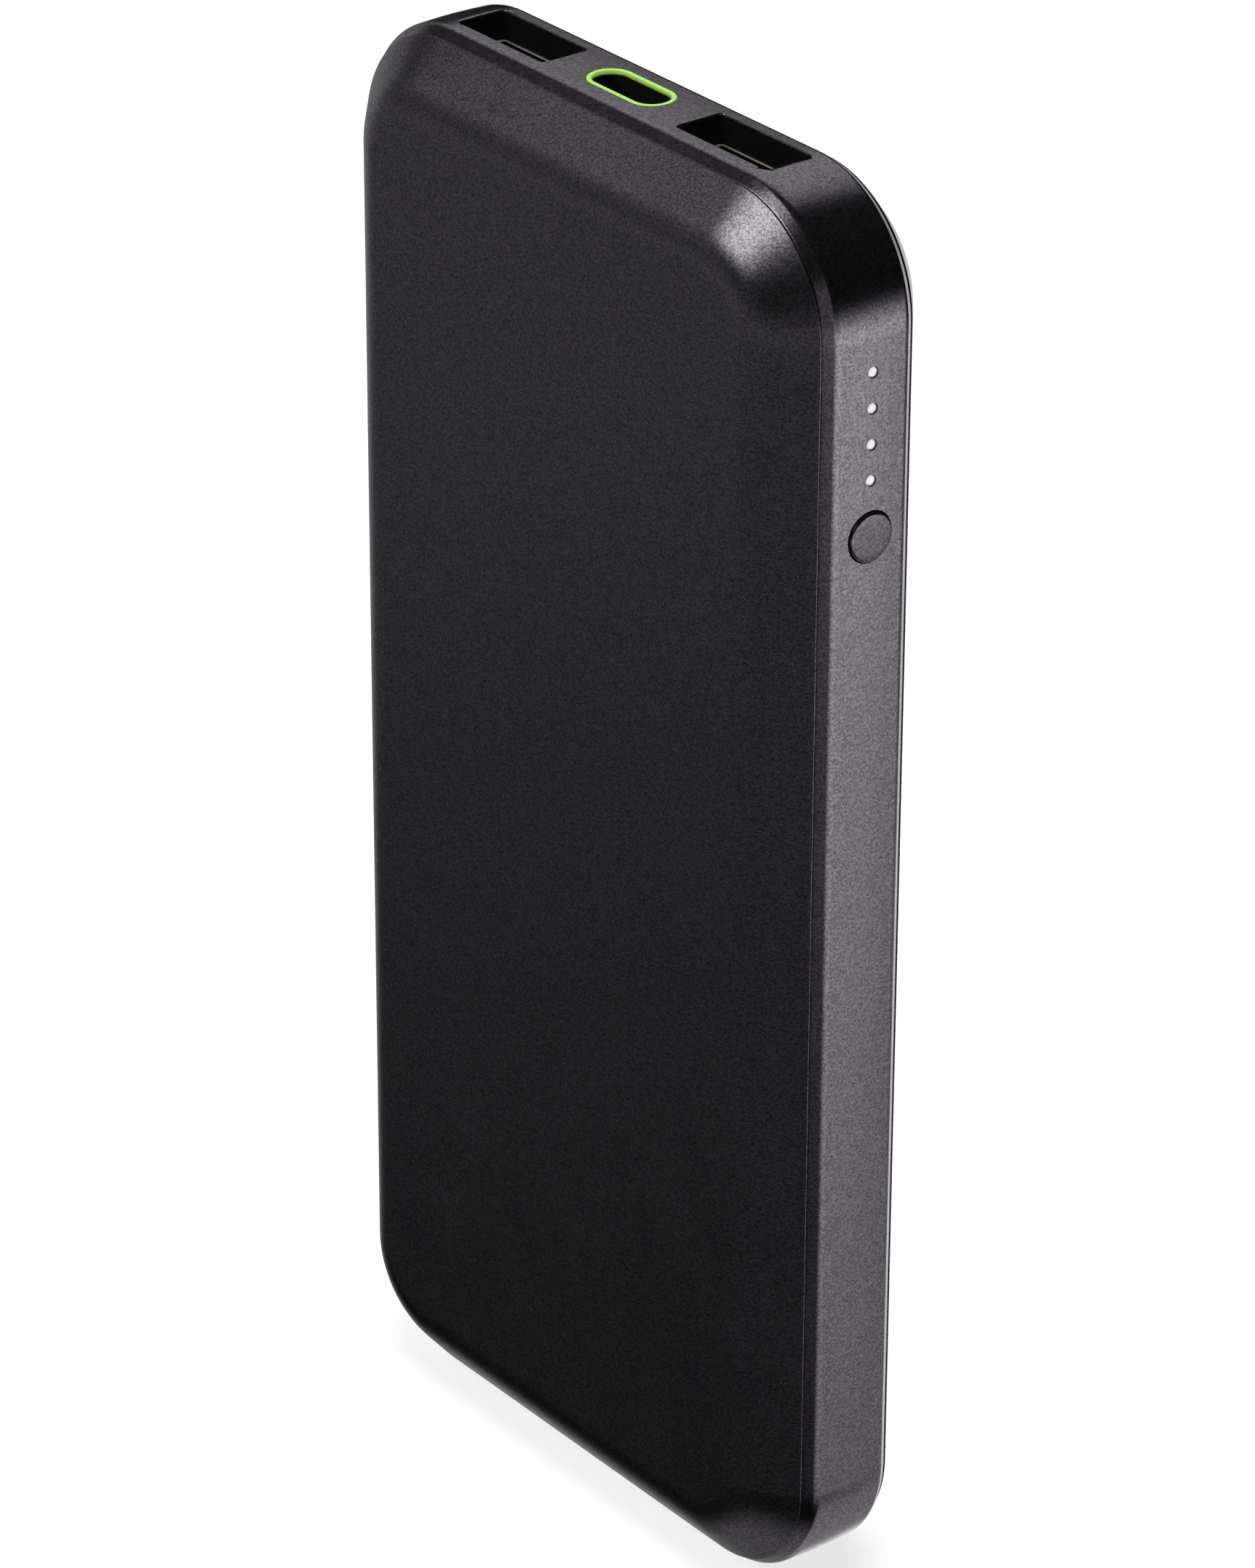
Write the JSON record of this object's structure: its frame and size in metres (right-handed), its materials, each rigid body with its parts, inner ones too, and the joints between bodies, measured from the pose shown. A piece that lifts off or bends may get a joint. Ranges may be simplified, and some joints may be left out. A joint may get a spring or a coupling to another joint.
{
  "type": "power bank",
  "caption": "Flat handheld battery pack with a bevelled casing, two wide and one slim charging port on its end, a round side button and a row of charge lights.",
  "frame": {"origin": "middle of the bottom end, which is the end opposite the ports", "axes": "+X towards the side with the button, -Y towards the front cover, +Z towards the ports"},
  "size_m": [0.07, 0.0186, 0.145],
  "materials": {
    "cover": "fine-grained soft-touch matte black",
    "frame": "satin warm grey paint with a fine metallic grain, on plastic",
    "button": "satin grey, as the side band",
    "accent": "bright yellow-green semi-gloss",
    "lens": "milky translucent",
    "port_shell": "bright nickel plate",
    "insulator": "moulded black",
    "contact": "gold plated",
    "circuit_board": "green solder mask",
    "chip": "epoxy moulding",
    "ferrite": "sintered ferrite",
    "ceramic": "tan ceramic",
    "led": "clear epoxy over phosphor",
    "steel": "zinc plated",
    "nickel": "nickel strip",
    "cell_pouch": "aluminium laminate film",
    "tape": "adhesive film",
    "foam": "closed-cell foam",
    "card": "fish paper",
    "lead_red": "silicone insulation",
    "lead_black": "silicone insulation"
  },
  "bodies": {
    "case": {"back_cover": "cover", "board_header": "insulator", "board_screw_1": "steel", "board_screw_2": "steel", "boost_inductor": "ferrite", "cell_back": "cell_pouch", "cell_front": "cell_pouch", "cell_tab_back_minus": "nickel", "cell_tab_back_plus": "nickel", "cell_tab_front_minus": "nickel", "cell_tab_front_plus": "nickel", "cell_tape": "tape", "foam_pad_back": "foam", "foam_pad_front": "foam", "front_cover": "cover", "indicator_led_1": "led", "indicator_led_2": "led", "indicator_led_3": "led", "indicator_led_4": "led", "insulation_card": "card", "lead_minus": "lead_black", "lead_plus": "lead_red", "light_guide": "lens", "main_board": "circuit_board", "mid_frame": "frame", "output_capacitor_1": "ceramic", "output_capacitor_2": "ceramic", "output_capacitor_3": "ceramic", "output_capacitor_4": "ceramic", "power_controller_chip": "chip", "power_transistor_1": "chip", "power_transistor_2": "chip", "protection_board": "circuit_board", "protection_chip": "chip", "protocol_chip": "chip", "sense_resistor": "chip", "side_board": "circuit_board", "switch_base": "insulator", "switch_cover": "steel", "usb_a_contact_left_1": "contact", "usb_a_contact_left_2": "contact", "usb_a_contact_left_3": "contact", "usb_a_contact_left_4": "contact", "usb_a_contact_right_1": "contact", "usb_a_contact_right_2": "contact", "usb_a_contact_right_3": "contact", "usb_a_contact_right_4": "contact", "usb_a_shell_left": "port_shell", "usb_a_shell_right": "port_shell", "usb_a_tongue_left": "insulator", "usb_a_tongue_right": "insulator", "usb_c_accent_ring": "accent", "usb_c_shell": "port_shell", "usb_c_tongue": "insulator"},
    "button": {"power_button": "button", "switch_plunger": "insulator"}
  },
  "joints": [
    {"name": "button_press", "type": "slide", "parent": "case", "child": "button", "axis": [-1, 0, 0], "range_m": [0, 0.00025], "stiffness_N_per_m": 300, "springref_m": -0.002}
  ]
}
